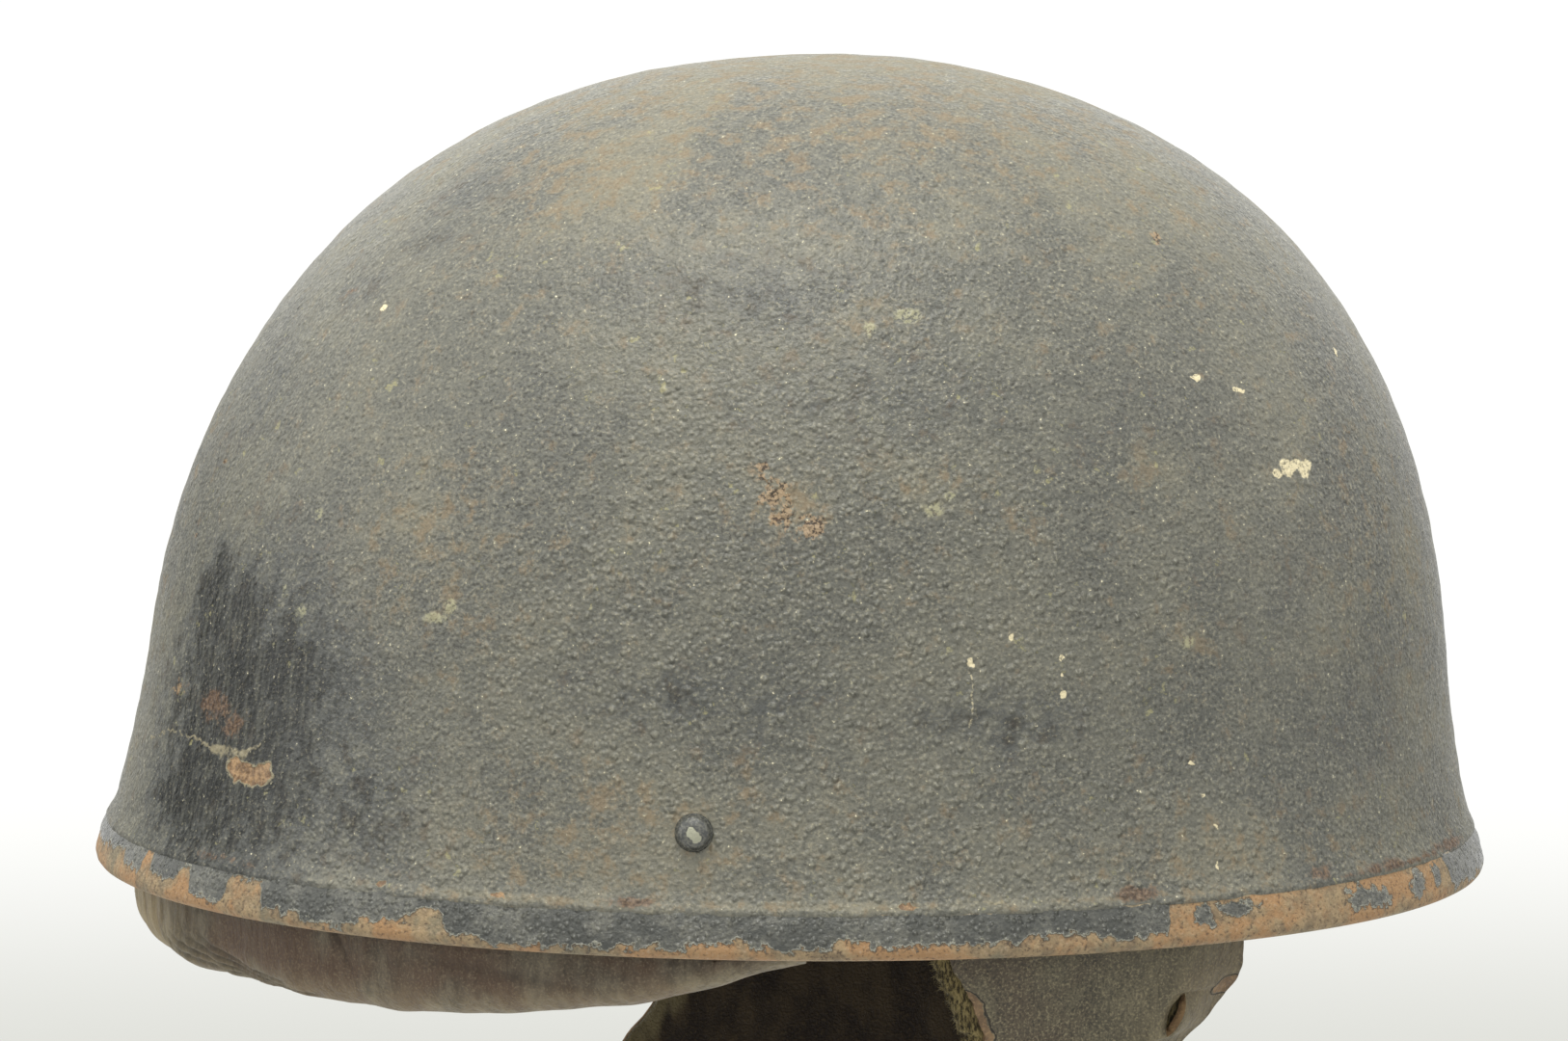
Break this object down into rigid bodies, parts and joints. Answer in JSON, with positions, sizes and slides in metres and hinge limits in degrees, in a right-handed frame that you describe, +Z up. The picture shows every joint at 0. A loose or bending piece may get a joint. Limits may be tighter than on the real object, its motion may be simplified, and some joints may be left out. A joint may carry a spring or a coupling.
{
  "type": "dispatch rider helmet",
  "caption": "Domed steel motorcyclist's helmet with a folded rim binding, a leather neck curtain and two lined leather ear flaps.",
  "frame": {"origin": "underside of the top of the crown, where the wearer's head meets the bowl", "axes": "+X to the helmet's front, +Z up, -Y to the wearer's right"},
  "size_m": [0.2867, 0.2364, 0.2711],
  "materials": {
    "shell_paint": "worn black-green paint with a pebbled surface",
    "rim_rust": "rusted binding with rough black paint left on it",
    "rivet_paint": "glossy dark paint, chipped",
    "leather": "dry grey-brown leather",
    "felt": "khaki felt, frayed edge",
    "pile": "dark brown pile"
  },
  "bodies": {
    "root": {"shell": "shell_paint", "rim_band": "rim_rust", "right_rivet": "rivet_paint", "left_rivet": "rivet_paint", "leather_band": "leather", "neck_curtain": "leather", "right_cheek_flap": "leather", "right_flap_lining": "felt", "left_ear_flap": "leather", "left_flap_lining": "pile"}
  },
  "joints": []
}
